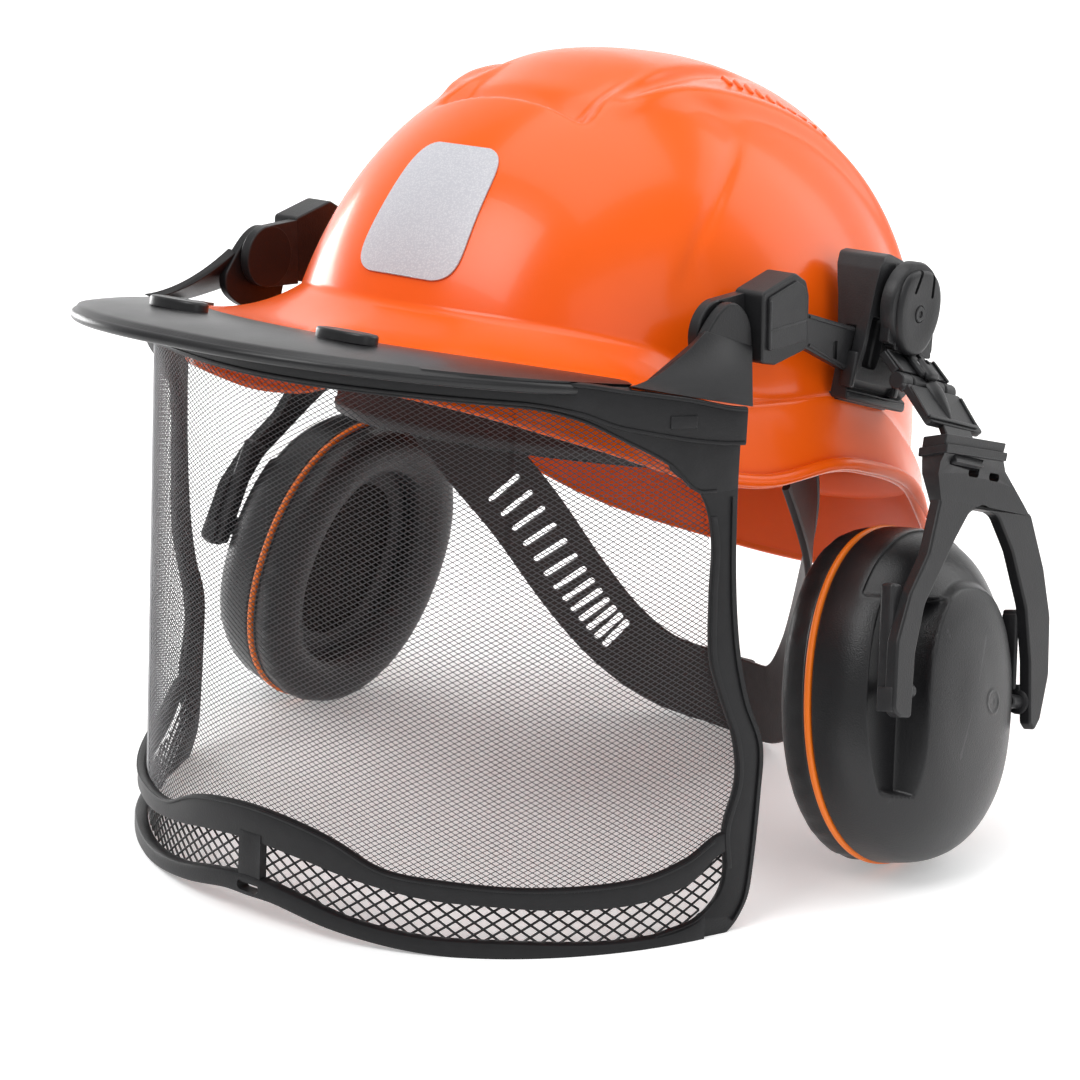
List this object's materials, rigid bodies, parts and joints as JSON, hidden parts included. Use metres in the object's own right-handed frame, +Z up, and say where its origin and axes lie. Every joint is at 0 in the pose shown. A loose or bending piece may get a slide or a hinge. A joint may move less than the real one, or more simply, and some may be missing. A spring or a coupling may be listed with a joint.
{
  "type": "safety helmet with visor and ear defenders",
  "caption": "Hard hat of gloss plastic with a lifting mesh visor and peak, an inner harness with nape strap, and swinging ear defender cups on side arms.",
  "frame": {"origin": "centre of the bounding box in X and Y, at the resting surface (lowest points of the visor frame and the two cups)", "axes": "+Z up, -Y to the wearer's front, +X to the wearer's left"},
  "size_m": [0.326, 0.3294, 0.2644],
  "materials": {
    "shell": "gloss moulded",
    "badge": "satin reflective film",
    "black_plastic": "fine grained satin",
    "harness_plastic": "soft satin",
    "sweatband": "perforated soft fabric",
    "webbing": "woven",
    "mesh_steel": "expanded metal, matt",
    "pin_steel": "turned",
    "ring": "semi gloss",
    "foam": "open cell foam",
    "cushion": "soft film skin"
  },
  "bodies": {
    "root": {"shell": "shell", "front_badge": "badge", "headband": "harness_plastic", "sweatband": "sweatband", "crown_straps": "webbing", "crown_pad": "harness_plastic", "cradle_anchors": "harness_plastic", "nape_strap": "harness_plastic", "nape_buckle": "harness_plastic", "carrier_left": "black_plastic", "carrier_right": "black_plastic", "visor_pin_left": "black_plastic", "visor_pin_right": "black_plastic", "muff_base_left": "black_plastic", "muff_base_right": "black_plastic", "hub_pin_left": "black_plastic", "hub_pin_right": "black_plastic"},
    "visor": {"visor_frame": "black_plastic", "visor_mesh": "mesh_steel", "chin_grille": "black_plastic", "brow_band": "black_plastic", "visor_ear_left": "black_plastic", "visor_ear_right": "black_plastic", "peak": "black_plastic", "peak_clips": "black_plastic"},
    "arm_left": {"hub_left": "black_plastic", "arm_plate_left": "black_plastic", "flip_pin_left": "pin_steel", "flip_spring_left": "pin_steel"},
    "flip_left": {"flip_plate_left": "black_plastic"},
    "yoke_left_body": {"yoke_left": "black_plastic"},
    "cup_left_body": {"cup_left": "black_plastic", "cup_ring_left": "ring", "cup_plate_left": "black_plastic", "cup_foam_left": "foam", "cushion_left": "cushion"},
    "arm_right": {"hub_right": "black_plastic", "arm_plate_right": "black_plastic", "flip_pin_right": "pin_steel", "flip_spring_right": "pin_steel"},
    "flip_right": {"flip_plate_right": "black_plastic"},
    "yoke_right_body": {"yoke_right": "black_plastic"},
    "cup_right_body": {"cup_right": "black_plastic", "cup_ring_right": "ring", "cup_plate_right": "black_plastic", "cup_foam_right": "foam", "cushion_right": "cushion"}
  },
  "joints": [
    {"name": "visor_lift", "type": "hinge", "parent": "root", "child": "visor", "pos_m": [0, -0.0218, 0.192], "axis": [-1, 0, 0], "range_deg": [0, 100]},
    {"name": "arm_turn_left", "type": "hinge", "parent": "root", "child": "arm_left", "pos_m": [0.116, 0.0639, 0.1883], "axis": [1, 0, 0], "range_deg": [-10, 12]},
    {"name": "arm_flip_left", "type": "hinge", "parent": "arm_left", "child": "flip_left", "pos_m": [0.1232, 0.062, 0.16305], "axis": [0, -0.9511, 0.309], "range_deg": [0, 22]},
    {"name": "yoke_slide_left", "type": "slide", "parent": "flip_left", "child": "yoke_left_body", "axis": [0.5821, -0.2513, -0.7733], "range_m": [0, 0.006]},
    {"name": "cup_tilt_left", "type": "hinge", "parent": "yoke_left_body", "child": "cup_left_body", "pos_m": [0.15301, 0.04466, 0.06558], "axis": [0.0308, 0.9523, -0.3036], "range_deg": [-5, 3.5]},
    {"name": "arm_turn_right", "type": "hinge", "parent": "root", "child": "arm_right", "pos_m": [-0.116, 0.0639, 0.1883], "axis": [1, 0, 0], "range_deg": [-10, 12]},
    {"name": "arm_flip_right", "type": "hinge", "parent": "arm_right", "child": "flip_right", "pos_m": [-0.1232, 0.062, 0.16305], "axis": [0, 0.9511, -0.309], "range_deg": [0, 22]},
    {"name": "yoke_slide_right", "type": "slide", "parent": "flip_right", "child": "yoke_right_body", "axis": [-0.5821, -0.2513, -0.7733], "range_m": [0, 0.006]},
    {"name": "cup_tilt_right", "type": "hinge", "parent": "yoke_right_body", "child": "cup_right_body", "pos_m": [-0.15301, 0.04466, 0.06558], "axis": [0.0308, -0.9523, 0.3036], "range_deg": [-5, 3.5]}
  ]
}
